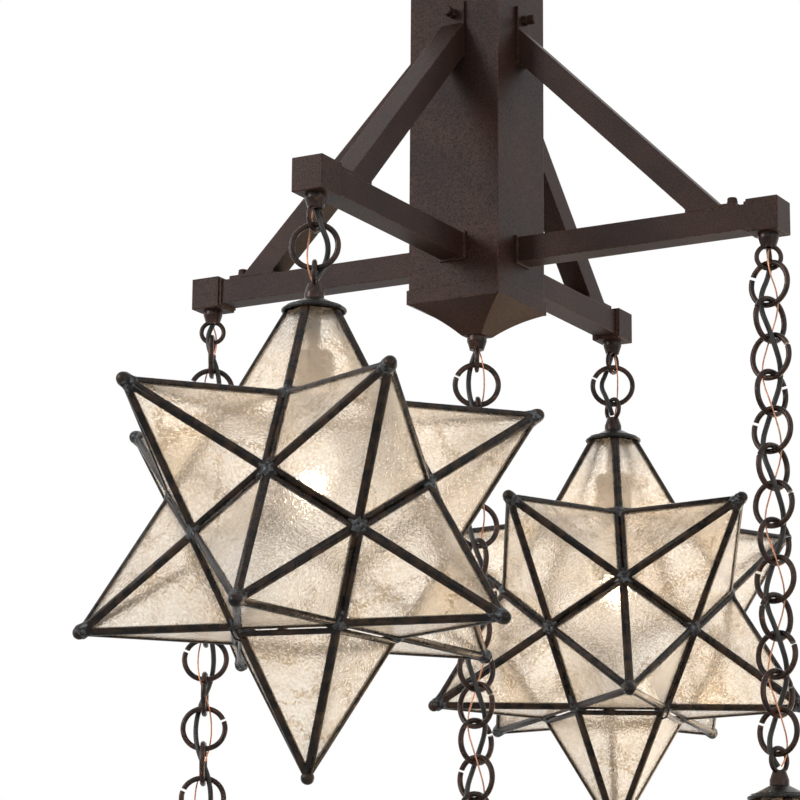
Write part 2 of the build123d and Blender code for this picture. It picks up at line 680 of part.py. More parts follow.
def panel(shape, top_cut, base_cut=None):
    """One framed sheet: the came with its window and glass groove, and the glass."""
    lead_frame = beyond(shape, wedge(shape), top_cut, Keep.BOTTOM)
    base_face = CAME_FACE
    if base_cut is not None:
        lead_frame = beyond(shape, lead_frame, base_cut, Keep.TOP)
        base_face = DOOR_CAME_FACE
    lip = CAME_FACE - CAME_LIP
    base_lip = base_face - CAME_LIP
    window = slab(inset_triangle(shape, CAME_FACE, base_face), -1.0, CAME_T + 3.0)
    groove = slab(inset_triangle(shape, lip, base_lip), GLASS_SETBACK - FIT / 2, GLASS_T + FIT)
    sheet = slab(inset_triangle(shape, lip + FIT, base_lip + FIT), GLASS_SETBACK, GLASS_T)
    if top_cut < STAR_R - TIP_CUT:
        window = beyond(shape, window, top_cut - CAME_FACE, Keep.BOTTOM)
        groove = beyond(shape, groove, top_cut - lip, Keep.BOTTOM)
        sheet = beyond(shape, sheet, top_cut - lip - FIT, Keep.BOTTOM)
    return lead_frame - window - groove, sheet


def solder_ball():
    """The blob on a tip, standing on the cut end of the cames, in the frame of a point along +Z."""
    return split(
        Pos(0, 0, STAR_R - TIP_BALL_BACK) * Sphere(TIP_BALL_R),
        bisect_by=Plane(origin=(0, 0, STAR_R - TIP_CUT + FIT / 4), z_dir=(0, 0, 1)),
        keep=Keep.TOP,
    )


def hinge_centre():
    """The middle of the door's hinge, tucked in the corner under the neighbouring point."""
    slope = math.atan2(BASE_IN, POINT_H)
    corner_angle = (math.radians(180) + math.radians(270) + slope) / 2
    reach = HINGE_OFFSET / math.sin((math.radians(90) + slope) / 2)
    return Vector(
        -BASE_IN + reach * math.cos(corner_angle), 0, -BASE_Z + reach * math.sin(corner_angle)
    )


def barrel(y0, y1, bore):
    c = hinge_centre()
    place = Pos(c.X, (y0 + y1) / 2, c.Z) * Rot(90, 0, 0)
    piece = place * Cylinder(BARREL_R, y1 - y0)
    return piece, place * Cylinder(bore, y1 - y0 + 1)


def fixed_hinge():
    """Two knuckles with leaves under the neighbouring point, and the pin through all three."""
    c = hinge_centre()
    pieces = []
    for side in (-1, 1):
        a = side * (DOOR_KNUCKLE / 2 + KNUCKLE_GAP)
        b = side * (DOOR_KNUCKLE / 2 + KNUCKLE_GAP + FIXED_KNUCKLE)
        y0, y1 = min(a, b), max(a, b)
        tube, bore = barrel(y0, y1, PIN_R + PIN_CLEAR / 2)
        under = -BASE_Z - LEAF_GAP
        leaf = bar(c.X - LEAF_LONG, c.X, y0, y1, under - LEAF_T, under)
        pieces.append(tube + leaf - bore)
    half = DOOR_KNUCKLE / 2 + KNUCKLE_GAP + FIXED_KNUCKLE
    pieces.append(Pos(c.X, 0, c.Z) * Rot(90, 0, 0) * Cylinder(PIN_R, 2 * half))
    return pieces


def door_knuckle():
    """The door's knuckle, with its leaf on the door's own panel."""
    c = hinge_centre()
    half = DOOR_KNUCKLE / 2
    tube, bore = barrel(-half, half, PIN_R + PIN_CLEAR)
    slope = math.atan2(BASE_IN, POINT_H)
    on_panel = Plane(origin=c, x_dir=(math.cos(slope), 0, math.sin(slope)), z_dir=(0, 1, 0))
    outer = HINGE_OFFSET - LEAF_GAP
    leaf = on_panel.location * bar(outer - LEAF_T, outer, 0, LEAF_LONG, -half, half)
    return tube + leaf - bore


def latch(frames):
    """The sprung wire loop at the door's far corner, its feet soldered on the two panels beside the ridge."""
    out = Vector(POINT_H, 0, -BASE_R).normalized()
    corner = Plane(origin=(BASE_R, 0, -BASE_Z), x_dir=(0, 1, 0), z_dir=out)
    half, off = LATCH_WIDE / 2, LATCH_OFF
    foot, knee, top = -LATCH_LONG, -LATCH_LONG / 2, LATCH_ABOVE
    route = [
        corner.from_local_coords(Vector(*point))
        for point in (
            (-half, foot, -LATCH_OFF), (-half, knee, off), (-half, top, off),
            (half, top, off), (half, knee, off), (half, foot, -LATCH_OFF),
        )
    ]
    path = FilletPolyline(*route, radius=[LATCH_BEND, LATCH_BEND, LATCH_BEND, LATCH_BEND])
    wire = sweep(Plane(origin=route[0], z_dir=route[1] - route[0]) * Circle(LATCH_WIRE_R), path=path)
    for frame in frames:
        wire -= frame
    return max(wire.solids(), key=lambda piece: piece.volume)


def star():
    """All the pieces of one star about its centre, the latch towards +X: came, glass, and the door's own."""
    tips, core = star_corners()
    top_tip, door_tip = tips[0], tips[1]
    pointed = point_shape(STAR_R)
    side_panel = panel(pointed, STAR_R - TIP_CUT)
    top_panel = panel(point_shape(TOP_TIP_R), CAP_TO_CENTRE - CAP_SEAT - FIT / 2)
    door_panel = panel(pointed, STAR_R - TIP_CUT, BASE_Z + DOOR_GAP)
    ball = solder_ball()
    came, glass, door_came, door_glass = [], [], [], []
    for tip in tips:
        frames, sheets, master = came, glass, side_panel
        if tip is top_tip:
            master = top_panel
        if tip is door_tip:
            frames, sheets, master = door_came, door_glass, door_panel
        for plane in panel_planes(tip, core):
            frames.append(plane.location * master[0])
            sheets.append(plane.location * master[1])
        if tip is not top_tip:
            frames.append(Plane(origin=(0, 0, 0), z_dir=tip).location * ball)
    came += fixed_hinge()
    door_came.append(latch(door_came))
    door_came.append(door_knuckle())
    return dict(came=came, glass=glass, door_came=door_came, door_glass=door_glass)


def write(node, pieces):
    """One file for each node, its pieces as separate solids."""
    solids = [solid for piece in pieces for solid in piece.solids()]
    export_step(Compound(children=solids, label=node), f"parts/{node}.step")


def build():
    write("mounting_bar", mounting_bar())
    write("canopy", canopy())
    write("column", column())
    write("finial", finial())
    write("wiring", inner_leads() + connectors())
    write("screws", screws())
    hang_loops = []
    for name, pendant in PENDANTS.items():
        if pendant["arm"] is not None:
            turn = Rot(0, 0, pendant["arm"])
            write(f"{name}_arm", [turn * piece for piece in arm()])
            write(f"{name}_brace", [turn * piece for piece in brace()])
        p = hang_point(pendant)
        hang_loops.append(Pos(p.X, p.Y, p.Z) * Rot(0, 0, pendant["loop"]) * screw_loop(HANG_COLLAR))
        write(f"{name}_chain", chain(pendant))
        write(f"{name}_cord", cord(name, pendant))
        write(f"{name}_cap", cap(pendant))
        write(f"{name}_lampholder", lampholder(pendant))
        write(f"{name}_bulb", bulb(pendant))
    write("hang_loops", hang_loops)
    pieces = star()
    for name, pendant in PENDANTS.items():
        for kind, solids in pieces.items():
            write(f"{name}_{kind}", [star_place(pendant) * solid for solid in solids])


build()
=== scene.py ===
import math

import bmesh
import bpy
from mathutils import Matrix, Vector, noise


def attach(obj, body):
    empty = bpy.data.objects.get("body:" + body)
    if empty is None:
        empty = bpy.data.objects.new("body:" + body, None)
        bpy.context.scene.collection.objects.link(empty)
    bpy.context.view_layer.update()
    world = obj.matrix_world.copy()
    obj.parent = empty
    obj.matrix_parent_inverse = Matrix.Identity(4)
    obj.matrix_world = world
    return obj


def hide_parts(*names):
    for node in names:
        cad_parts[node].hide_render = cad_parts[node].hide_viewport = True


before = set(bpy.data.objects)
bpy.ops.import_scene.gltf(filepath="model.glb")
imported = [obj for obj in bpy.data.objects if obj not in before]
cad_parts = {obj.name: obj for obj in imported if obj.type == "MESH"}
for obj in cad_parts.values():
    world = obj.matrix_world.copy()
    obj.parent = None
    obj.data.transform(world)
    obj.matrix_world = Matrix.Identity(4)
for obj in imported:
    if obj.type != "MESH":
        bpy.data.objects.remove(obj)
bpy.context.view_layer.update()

# Metres, in the frame of the CAD: +Z up, the origin on the ceiling in the middle of the mounting bar.
ARM_DROP = 0.430
ARM_REACH = 0.319
BLOCK = 0.0332
FINIAL_FOOT = 0.512
COLLAR_H = 0.014
CONTACT_DROP = 0.03475
LOOP_WIRE_R = 0.00235
RING_WIRE_R = 0.00275
RING_R = 0.0208
RING_PITCH = 0.0360
WIRES_APART = 0.0054
CAP_TO_CENTRE = 0.210
STAR_R = 0.235
TOP_TIP_R = 0.2457
TOP_CUT = 0.2017

# The cords' facts, as in the CAD
CORD_R = 0.0026
CORD_EXIT_R = 0.0009
CORD_WEAVE_R = 0.012
CORD_BELLY_R = 0.0138
GROUND_R = 0.0008
GROUND_EXIT_R = 0.0026
GROUND_WEAVE_R = 0.011
CORD_TOP_GAP = 0.0018
CORD_FOOT_GAP = 0.0035
TWIST_RINGS = 9

# Every pendant: arm direction, number of rings, plane of the fixed loop and of the first ring, the extra
# turn of each of the next rings, the turn from the last ring to the star's loop, the latch's direction, the
# side that the cord takes at every crossing and, beside a single ring, the direction of its belly.
PENDANTS = {
    "front": dict(
        arm=270, rings=1, loop=90, ring=200, twist=0, last=99,
        latch=247.6, side=180, belly=20,
    ),
    "back": dict(
        arm=90, rings=1, loop=90, ring=205, twist=0, last=125,
        latch=335.5, side=0, belly=205,
    ),
    "right": dict(
        arm=0, rings=13, loop=29.5, ring=164.5, twist=0, last=90,
        latch=200.0, side=0, belly=None,
    ),
    "left": dict(
        arm=180, rings=25, loop=29.5, ring=119.5, twist=0, last=90,
        latch=60.0, side=180, belly=None,
    ),
    "centre": dict(
        arm=None, rings=35, loop=119.5, ring=209.5, twist=5, last=90,
        latch=130.0, side=0, belly=None,
    ),
}


def polar(radius, degrees, z=0.0):
    a = math.radians(degrees)
    return Vector((radius * math.cos(a), radius * math.sin(a), z))


def hang_point(pendant):
    if pendant["arm"] is None:
        return Vector((0, 0, -FINIAL_FOOT))
    return polar(ARM_REACH, pendant["arm"], -ARM_DROP - BLOCK / 2)


def last_ring_foot(pendant):
    return -CONTACT_DROP + WIRES_APART - 2 * RING_R - RING_PITCH * (pendant["rings"] - 1)


def cap_top(pendant):
    return last_ring_foot(pendant) + WIRES_APART - CONTACT_DROP


def star_centre(pendant):
    return hang_point(pendant) + Vector((0, 0, cap_top(pendant) - CAP_TO_CENTRE))


def link_angles(pendant):
    angles = [pendant["loop"], pendant["ring"]]
    for i in range(1, pendant["rings"]):
        angles.append(angles[-1] + 90 + (pendant["twist"] if i <= TWIST_RINGS else 0))
    angles.append(angles[-1] + pendant["last"])
    return angles


def square_to(plane, towards):
    """The direction square to a link's plane that is nearer to another direction."""
    return plane + 90 if math.cos(math.radians(plane + 90 - towards)) > 0 else plane - 90


def weave(pendant, radius, side, exit_r, belly_r=None):
    """The route's points: out of the wireway, past every crossing of two links, into the star's wireway."""
    p = hang_point(pendant)
    angles = link_angles(pendant)
    seats = [-CONTACT_DROP + LOOP_WIRE_R]
    rings_below = reversed(range(pendant["rings"]))
    seats += [last_ring_foot(pendant) + RING_WIRE_R + RING_PITCH * i for i in rings_below]
    points = [
        polar(radius, (here + below) / 2 + side, z) for here, below, z in zip(angles, angles[1:], seats)
    ]
    if belly_r is not None:
        points.insert(1, polar(belly_r, pendant["belly"], -CONTACT_DROP + WIRES_APART - RING_R))
    out = square_to(angles[0], (angles[0] + angles[1]) / 2 + side)
    back = square_to(angles[-1], (angles[-2] + angles[-1]) / 2 + side)
    start = polar(exit_r, out, -COLLAR_H - CORD_TOP_GAP)
    end = polar(exit_r, back, cap_top(pendant) + COLLAR_H + CORD_FOOT_GAP)
    return [point + p for point in (start, *points, end)]


# Camera

CAMERA_AT = Vector((1.4020, -2.6356, -1.2640))
CAMERA_TURN = 29.495
CAMERA_UP = 12.941
CAMERA_ROLL = 0.43
CAMERA_LENS = 136.7
SENSOR_WIDTH = 36
CLIP_NEAR, CLIP_FAR = 0.05, 100


def add_camera():
    turn, up, roll = (math.radians(a) for a in (CAMERA_TURN, CAMERA_UP, CAMERA_ROLL))
    right = Vector((math.cos(turn), math.sin(turn), 0))
    level = Vector((-math.sin(turn), math.cos(turn), 0))
    ahead = level * math.cos(up) + Vector((0, 0, math.sin(up)))
    top = Vector((0, 0, math.cos(up))) - level * math.sin(up)
    x = right * math.cos(roll) + top * math.sin(roll)
    y = top * math.cos(roll) - right * math.sin(roll)
    data = bpy.data.cameras.new("camera")
    data.sensor_width = SENSOR_WIDTH
    data.lens = CAMERA_LENS
    data.clip_start, data.clip_end = CLIP_NEAR, CLIP_FAR
    camera = bpy.data.objects.new("camera", data)
    bpy.context.scene.collection.objects.link(camera)
    turned = Matrix((x, y, -ahead)).transposed().to_4x4()
    camera.matrix_world = Matrix.Translation(CAMERA_AT) @ turned
    bpy.context.scene.camera = camera


# Material helpers


def new_material(name):
    material = bpy.data.materials.new(name)
    material.use_nodes = True
    return material, material.node_tree, material.node_tree.nodes["Principled BSDF"]


def add(tree, kind, values=None, **settings):
    """A new node with its input values and settings."""
    node = tree.nodes.new("ShaderNode" + kind)
    for name, value in settings.items():
        setattr(node, name, value)
    for name, value in (values or {}).items():
        if isinstance(value, bpy.types.NodeSocket):
            tree.links.new(value, node.inputs[name])
        else:
            node.inputs[name].default_value = value
    return node


def local_point(tree):
    return add(tree, "TexCoord").outputs["Object"]


def cloud(tree, vector, scale, detail=3.0, distortion=0.0):
    values = {"Vector": vector, "Scale": scale, "Detail": detail, "Distortion": distortion}
    return add(tree, "TexNoise", values).outputs["Fac"]


def between(tree, value, low, high, out_low=0.0, out_high=1.0):
    values = {"Value": value, "From Min": low, "From Max": high, "To Min": out_low, "To Max": out_high}
    return add(tree, "MapRange", values).outputs["Result"]


def mix_colour(tree, factor, a, b):
    node = tree.nodes.new("ShaderNodeMix")
    node.data_type = "RGBA"
    for socket, value in ((node.inputs[0], factor), (node.inputs[6], a), (node.inputs[7], b)):
        if isinstance(value, bpy.types.NodeSocket):
            tree.links.new(value, socket)
        else:
            socket.default_value = value
    return node.outputs[2]


def two_tone(tree, value, low, high, dark, light):
    """Two colours, blended where a value lies between its limits."""
    return mix_colour(tree, between(tree, value, low, high), dark, light)


def math_node(tree, operation, a, b=None):
    node = tree.nodes.new("ShaderNodeMath")
    node.operation = operation
    for socket, value in zip(node.inputs, (a, b)):
        if isinstance(value, bpy.types.NodeSocket):
            tree.links.new(value, socket)
        elif value is not None:
            socket.default_value = value
    return node.outputs[0]


def bump(tree, height, strength, distance, normal=None):
    values = {"Height": height, "Strength": strength, "Distance": distance}
    if normal is not None:
        values["Normal"] = normal
    return add(tree, "Bump", values).outputs["Normal"]


def edge_mask(tree, radius):
    """White where the surface turns a corner."""
    rounded = add(tree, "Bevel", {"Radius": radius}, samples=6).outputs["Normal"]
    flat = add(tree, "NewGeometry").outputs["Normal"]
    dot = add(tree, "VectorMath", {0: rounded, 1: flat}, operation="DOT_PRODUCT").outputs["Value"]
    return between(tree, dot, 0.995, 0.86), rounded


# Materials


def bronze():
    """Dark brown-bronze finish with a fine grain and copper showing on worn edges."""
    material, tree, shader = new_material("bronze_finish")
    point = local_point(tree)
    patches = cloud(tree, point, 14.0, 5.0)
    grain = cloud(tree, point, 700.0, 2.0)
    colour = two_tone(tree, patches, 0.35, 0.65, (0.028, 0.0140, 0.0110, 1), (0.052, 0.0235, 0.0165, 1))
    colour = mix_colour(tree, between(tree, grain, 0.40, 0.70, 0.0, 0.8), colour, (0.009, 0.006, 0.005, 1))
    worn, rounded = edge_mask(tree, 0.0012)
    broken = between(tree, cloud(tree, point, 260.0, 3.0), 0.42, 0.58)
    worn = math_node(tree, "MULTIPLY", worn, broken)
    colour = mix_colour(tree, math_node(tree, "MULTIPLY", worn, 0.7), colour, (0.22, 0.10, 0.060, 1))
    tree.links.new(colour, shader.inputs["Base Color"])
    shader.inputs["Metallic"].default_value = 0.10
    shader.inputs["Specular IOR Level"].default_value = 0.15
    tree.links.new(between(tree, grain, 0.3, 0.7, 0.38, 0.52), shader.inputs["Roughness"])
    tree.links.new(bump(tree, grain, 0.35, 0.0004, rounded), shader.inputs["Normal"])
    return material


def wire_bronze_colour(tree, point):
    patches = cloud(tree, point, 70.0, 4.0)
    colour = two_tone(tree, patches, 0.35, 0.65, (0.014, 0.0085, 0.007, 1), (0.050, 0.024, 0.017, 1))
    worn = between(tree, cloud(tree, point, 180.0, 3.0), 0.58, 0.72, 0.0, 0.5)
    return mix_colour(tree, worn, colour, (0.17, 0.075, 0.045, 1))


def finish_wire(tree, shader, point, colour):
    grain = cloud(tree, point, 600.0, 2.0)
    tree.links.new(colour, shader.inputs["Base Color"])
    shader.inputs["Metallic"].default_value = 0.30
    shader.inputs["Specular IOR Level"].default_value = 0.35
    tree.links.new(between(tree, grain, 0.3, 0.7, 0.22, 0.38), shader.inputs["Roughness"])
    tree.links.new(bump(tree, grain, 0.3, 0.0003), shader.inputs["Normal"])


def wire_bronze():
    """The chain and the loops: the same finish, smoother and darker."""
    material, tree, shader = new_material("wire_bronze_finish")
    point = local_point(tree)
    finish_wire(tree, shader, point, wire_bronze_colour(tree, point))
    return material


def cap_finish(name, top):
    """A star's cap: bronze loop and collar on a lid blackened like the came, with smears of solder."""
    material, tree, shader = new_material(f"{name}_cap_finish")
    point = local_point(tree)
    height = add(tree, "SeparateXYZ", {0: point}).outputs["Z"]
    spots = cloud(tree, point, 150.0, 4.0)
    lid = two_tone(tree, spots, 0.40, 0.66, (0.008, 0.008, 0.007, 1), (0.036, 0.034, 0.031, 1))
    below = between(tree, height, top + 0.0004, top - 0.0004)
    finish_wire(tree, shader, point, mix_colour(tree, below, wire_bronze_colour(tree, point), lid))
    return material


def came_metal():
    """Blackened came with warm brown streaks."""
    material, tree, shader = new_material("came_finish")
    point = local_point(tree)
    streaks = cloud(tree, point, 90.0, 4.0)
    colour = two_tone(tree, streaks, 0.42, 0.68, (0.006, 0.0045, 0.0035, 1), (0.044, 0.023, 0.0125, 1))
    tree.links.new(colour, shader.inputs["Base Color"])
    shader.inputs["Metallic"].default_value = 0.25
    shader.inputs["Specular IOR Level"].default_value = 0.3
    tree.links.new(between(tree, streaks, 0.3, 0.7, 0.20, 0.38), shader.inputs["Roughness"])
    tree.links.new(bump(tree, cloud(tree, point, 300.0, 3.0), 0.5, 0.0006), shader.inputs["Normal"])
    return material


def solder():
    """Bluish grey solder, lumpy and half blackened."""
    material, tree, shader = new_material("solder_finish")
    point = local_point(tree)
    spots = cloud(tree, point, 300.0, 5.0)
    colour = two_tone(tree, spots, 0.42, 0.64, (0.010, 0.009, 0.009, 1), (0.095, 0.102, 0.110, 1))
    tree.links.new(colour, shader.inputs["Base Color"])
    shader.inputs["Metallic"].default_value = 0.6
    tree.links.new(between(tree, spots, 0.35, 0.65, 0.45, 0.24), shader.inputs["Roughness"])
    tree.links.new(bump(tree, spots, 0.7, 0.0012), shader.inputs["Normal"])
    return material


def pass_lamp_light(tree, body, tint):
    """The surface lets lamps shine through it, so that what is behind it is lit."""
    clear = add(tree, "BsdfTransparent", {"Color": tint})
    shadow = add(tree, "LightPath").outputs["Is Shadow Ray"]
    final = add(tree, "MixShader", {0: shadow, 1: body, 2: clear.outputs["BSDF"]})
    tree.links.new(final.outputs["Shader"], tree.nodes["Material Output"].inputs["Surface"])


def seedy_glass():
    """Warm clear glass with fine seeds and a faint glow where a lamp lights it. Its light brown specks and
    thin dark brown streaks are painted reflection: they stand for the dark cames and lamp parts seen through
    the seeds.
    """
    material, tree, shader = new_material("seedy_glass_finish")
    point = local_point(tree)
    seeds = add(tree, "TexVoronoi", {"Vector": point, "Scale": 330.0}).outputs["Distance"]
    fine = cloud(tree, point, 380.0, 3.0)
    stain = cloud(tree, point, 16.0, 6.0, 1.6)
    # Painted reflection: the thin lines of the dark brown streaks below, which stand for the cames seen
    # through the glass.
    off_middle = math_node(tree, "SUBTRACT", cloud(tree, point, 9.0, 4.0, 1.0), 0.5)
    painted_vein_lines = math_node(tree, "ABSOLUTE", off_middle)
    colour = two_tone(tree, stain, 0.35, 0.65, (0.992, 0.986, 0.976, 1), (0.980, 0.962, 0.932, 1))
    # Painted reflection: light brown specks and thin dark brown streaks over the glass's own warm tint stand
    # for the dark cames and lamp parts seen through the seeds.
    painted_speck_mask = between(tree, fine, 0.46, 0.60)
    painted_refraction_fleck = math_node(tree, "MULTIPLY", painted_speck_mask, between(tree, stain, 0.42, 0.60, 0.30, 0.6))
    colour = mix_colour(tree, painted_refraction_fleck, colour, (0.66, 0.55, 0.40, 1))
    painted_refraction_vein = math_node(tree, "MULTIPLY", painted_speck_mask, between(tree, painted_vein_lines, 0.024, 0.008, 0.0, 1.0))
    colour = mix_colour(tree, painted_refraction_vein, colour, (0.36, 0.26, 0.14, 1))
    tree.links.new(colour, shader.inputs["Base Color"])
    shader.inputs["Transmission Weight"].default_value = 1.0
    shader.inputs["IOR"].default_value = 1.45
    tree.links.new(between(tree, fine, 0.35, 0.65, 0.01, 0.07), shader.inputs["Roughness"])
    normal = bump(tree, cloud(tree, point, 45.0, 2.0, 0.5), 0.12, 0.0030)
    normal = bump(tree, between(tree, seeds, 0.05, 0.40, 1.0, 0.0), 0.30, 0.0005, normal)
    normal = bump(tree, fine, 0.27, 0.0008, normal)
    tree.links.new(normal, shader.inputs["Normal"])
    glow = add(tree, "BsdfTranslucent", {"Color": (0.98, 0.90, 0.79, 1), "Normal": normal})
    haze = between(tree, fine, 0.40, 0.70, 0.08, 0.24)
    body = add(tree, "MixShader", {0: haze, 1: shader.outputs["BSDF"], 2: glow.outputs["BSDF"]})
    pass_lamp_light(tree, body.outputs["Shader"], (0.94, 0.92, 0.88, 1))
    return material


def bulb_glass():
    """The clear bulb round the lit filaments."""
    material, tree, shader = new_material("bulb_glass_finish")
    point = local_point(tree)
    film = cloud(tree, point, 40.0, 3.0)
    colour = mix_colour(tree, film, (0.98, 0.95, 0.90, 1), (1.0, 0.99, 0.97, 1))
    tree.links.new(colour, shader.inputs["Base Color"])
    shader.inputs["Transmission Weight"].default_value = 1.0
    shader.inputs["IOR"].default_value = 1.08
    tree.links.new(between(tree, film, 0.3, 0.7, 0.02, 0.08), shader.inputs["Roughness"])
    pass_lamp_light(tree, shader.outputs["BSDF"], (1, 1, 1, 1))
    return material


def lit_filament():
    """Glowing filaments, a little uneven in colour."""
    material, tree, shader = new_material("lit_filament")
    tone = cloud(tree, local_point(tree), 400.0)
    colour = mix_colour(tree, tone, (1.0, 0.72, 0.42, 1), (1.0, 0.84, 0.62, 1))
    tree.links.new(colour, shader.inputs["Base Color"])
    tree.links.new(colour, shader.inputs["Emission Color"])
    shader.inputs["Emission Strength"].default_value = FILAMENT_LIGHT
    return material


def plain(name, dark, light, scale, metallic, rough):
    """A finish of two mixed tones with a fine grain."""
    material, tree, shader = new_material(name)
    point = local_point(tree)
    tone = cloud(tree, point, scale, 4.0)
    tree.links.new(two_tone(tree, tone, 0.35, 0.65, dark, light), shader.inputs["Base Color"])
    shader.inputs["Metallic"].default_value = metallic
    fine = cloud(tree, point, 500.0, 2.0)
    tree.links.new(between(tree, fine, 0.3, 0.7, rough - 0.08, rough + 0.08), shader.inputs["Roughness"])
    tree.links.new(bump(tree, fine, 0.3, 0.0003), shader.inputs["Normal"])
    return material


def floor_material():
    """A pale floor, whitened for the camera only, that keeps the shadow."""
    material, tree, shader = new_material("floor_finish")
    tone = cloud(tree, local_point(tree), 3.0, 3.0)
    colour = mix_colour(tree, tone, (0.80, 0.80, 0.79, 1), (0.83, 0.83, 0.82, 1))
    tree.links.new(colour, shader.inputs["Base Color"])
    shader.inputs["Roughness"].default_value = 0.8
    paper = add(tree, "Emission", {"Color": (1, 1, 1, 1), "Strength": 1.0})
    seen = math_node(tree, "MULTIPLY", add(tree, "LightPath").outputs["Is Camera Ray"], FLOOR_WHITENED)
    pale = add(tree, "MixShader", {0: seen, 1: shader.outputs["BSDF"], 2: paper.outputs["Emission"]})
    tree.links.new(pale.outputs["Shader"], tree.nodes["Material Output"].inputs["Surface"])
    return material


def dress_nodes():
    """Every CAD node that stays gets its finish."""
    metal, wire = bronze(), wire_bronze()
    by_slot = {
        "bronze": metal,
        "came_metal": CAME,
        "seedy_glass": seedy_glass(),
        "lamp_glass": bulb_glass(),
        "black_phenolic": plain(
            "black_phenolic_finish", (0.012, 0.010, 0.009, 1), (0.040, 0.028, 0.022, 1), 90.0, 0.0, 0.42
        ),
        "black_insulation": plain(
            "black_insulation_finish", (0.010, 0.010, 0.010, 1), (0.020, 0.019, 0.018, 1), 120.0, 0.0, 0.50
        ),
        "plated_steel": plain(
            "plated_steel_finish", (0.42, 0.42, 0.43, 1), (0.56, 0.55, 0.54, 1), 80.0, 0.9, 0.34
        ),
    }
    for node_name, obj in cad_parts.items():
        owner, kind = node_name.split("_")[0], node_name.split("_")[-1]
        for material_slot in obj.material_slots:
            finish = by_slot[material_slot.material.name.split(".")[0]]
            if kind == "cap":
                pendant = PENDANTS[owner]
                finish = cap_finish(owner, hang_point(pendant).z + cap_top(pendant))
            elif kind in ("chain", "loops"):
                finish = wire
            material_slot.material = finish


FILAMENT_LIGHT = 70.0
COPPER = plain("copper_finish", (0.52, 0.22, 0.12, 1), (0.72, 0.36, 0.21, 1), 160.0, 0.9, 0.30)
CORD_BLACK = plain("cord_black_finish", (0.009, 0.009, 0.009, 1), (0.022, 0.021, 0.020, 1), 140.0, 0.0, 0.46)
CAME = came_metal()
SOLDER = solder()
LIT = lit_filament()


# Pieces


def show(obj):
    bpy.context.scene.collection.objects.link(obj)


def add_piece(obj, body):
    """A visible piece that moves with a body of the CAD."""
    show(obj)
    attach(obj, body)
    return obj


def add_cord(name, points, radius, node, material):
    """A free cord: one open spline on the route's own points."""
    curve = bpy.data.curves.new(name, "CURVE")
    curve.dimensions = "3D"
    curve.bevel_depth = radius
    curve.bevel_resolution = 4
    curve.use_fill_caps = True
    curve.resolution_u = 12
    spline = curve.splines.new("NURBS")
    spline.points.add(len(points) - 1)
    for spline_point, point in zip(spline.points, points):
        spline_point.co = (*point, 1)
    spline.order_u = 3
    spline.use_endpoint_u = True
    curve.materials.append(material)
    obj = add_piece(bpy.data.objects.new(name, curve), node.replace("_cord", "_hanger"))
    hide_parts(node)


def add_cords():
    for name, pendant in PENDANTS.items():
        node = f"{name}_cord"
        belly_r = None if pendant["belly"] is None else CORD_BELLY_R
        black = weave(pendant, CORD_WEAVE_R, pendant["side"], CORD_EXIT_R, belly_r)
        bare = weave(pendant, GROUND_WEAVE_R, pendant["side"] + 180, GROUND_EXIT_R)
        add_cord(f"{name}_lamp_cord", black, CORD_R, node, CORD_BLACK)
        add_cord(f"{name}_ground_wire", bare, GROUND_R, node, COPPER)


# The star's figures, as in the CAD
GOLDEN = (1 + math.sqrt(5)) / 2
EDGE = STAR_R / math.sin(math.radians(72)) / GOLDEN**2
BASE_Z = STAR_R / math.sqrt(5)
BASE_R = EDGE / (2 * math.sin(math.radians(36)))
BASE_IN = BASE_R * math.cos(math.radians(36))
DOOR_GAP = 0.0015

# The rounded came face: where it begins and ends from the panel's edge, its height and how far it is sunk
BEAD_FROM = 0.0007
BEAD_TO = 0.0049
BEAD_H = 0.0012
BEAD_SUNK = 0.0001
BEAD_STEPS = 8

# Solder: the lump and its arms along the cames, in the inner corners and on the tips
LUMP_R = 0.0056
LUMP_ARM = 0.0070
TIP_LUMP_R = 0.0068
TIP_LUMP_ARM = 0.0085
TIP_LUMP_BACK = 0.0064
LUMP_KEEN = 14.0
LUMP_BACK = 0.0005
LUMP_FLAT = 0.42
LUMP_ROUGH = 0.20
LUMP_NOISE_SCALE = 2.2
TIP_SEED = 40

# Filaments: a leaning ring, above the star's centre
FILAMENT_Z = 0.034
FILAMENT_RING_R = 0.0055
FILAMENT_R = 0.0011
FILAMENT_LONG = 0.018
FILAMENTS = 6
FILAMENT_TURN = 60
FILAMENT_LEAN = 25
FILAMENT_TOP = 0.6


def is_door(tip):
    """The bottom point is the door."""
    return tip.z < -STAR_R * 0.99


def star_corners():
    """The twelve tips and the twenty corners of the core."""
    tips = [Vector((0, 0, TOP_TIP_R)), Vector((0, 0, -STAR_R))]
    core = []
    for k in range(5):
        for flip in (1, -1):
            turn = 72 * k + (36 if flip > 0 else 0)
            tips.append(polar(2 * BASE_Z, turn + 36, flip * BASE_Z))
            core.append(polar(BASE_R, turn, flip * BASE_Z))
            core.append(polar(BASE_R * GOLDEN, turn, flip * BASE_Z * (GOLDEN - 1) ** 3))
    return tips, core


def panel_frames(tip, core):
    """The five panels of a point: base edge along x, tip along y, outward normal z."""
    near = sorted(core, key=lambda corner: (corner - tip).length)[:5]
    frames = []
    for i, a in enumerate(near):
        for b in near[i + 1:]:
            if (a - b).length < EDGE * 1.1:
                middle = (a + b) / 2
                side = (b - a).normalized()
                normal = side.cross(tip - middle).normalized()
                if normal.dot(middle) < 0:
                    normal, side = -normal, -side
                up = normal.cross(side)
                frames.append(Matrix.Translation(middle) @ Matrix((side, up, normal)).transposed().to_4x4())
    return frames


